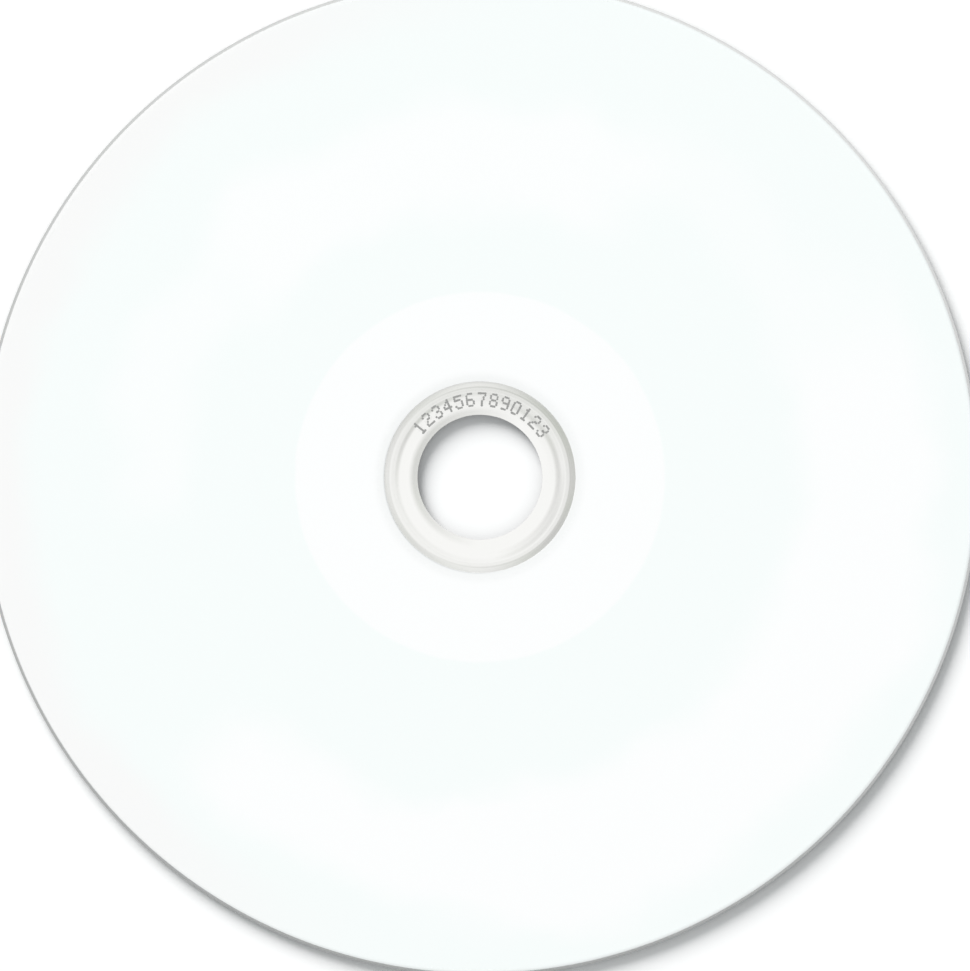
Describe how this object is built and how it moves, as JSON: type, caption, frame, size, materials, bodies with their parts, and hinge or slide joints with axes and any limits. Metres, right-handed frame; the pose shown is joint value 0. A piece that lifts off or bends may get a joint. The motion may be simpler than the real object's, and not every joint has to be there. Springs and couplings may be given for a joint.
{
  "type": "compact disc",
  "caption": "Thin round disc of clear plastic with a mirror layer under a plain white printable coat, a clear hub with moulded rings and a round centre hole.",
  "frame": {"origin": "on the disc's axis, at the level of the foot of the stacking ring, which is what the disc lies on", "axes": "+Z along the axis of the centre hole, out of the printable face; the disc lies flat with that face up"},
  "size_m": [0.12, 0.12, 0.0014],
  "materials": {
    "clear_plastic": "clear moulded polycarbonate, polished",
    "mirror_film": "mirror film behind the clear body, with a fine spiral track",
    "white_coat": "matt white absorbent coat, blank"
  },
  "bodies": {
    "root": {"substrate": "clear_plastic", "mirror_layer": "mirror_film", "print_coat": "white_coat"}
  },
  "joints": []
}
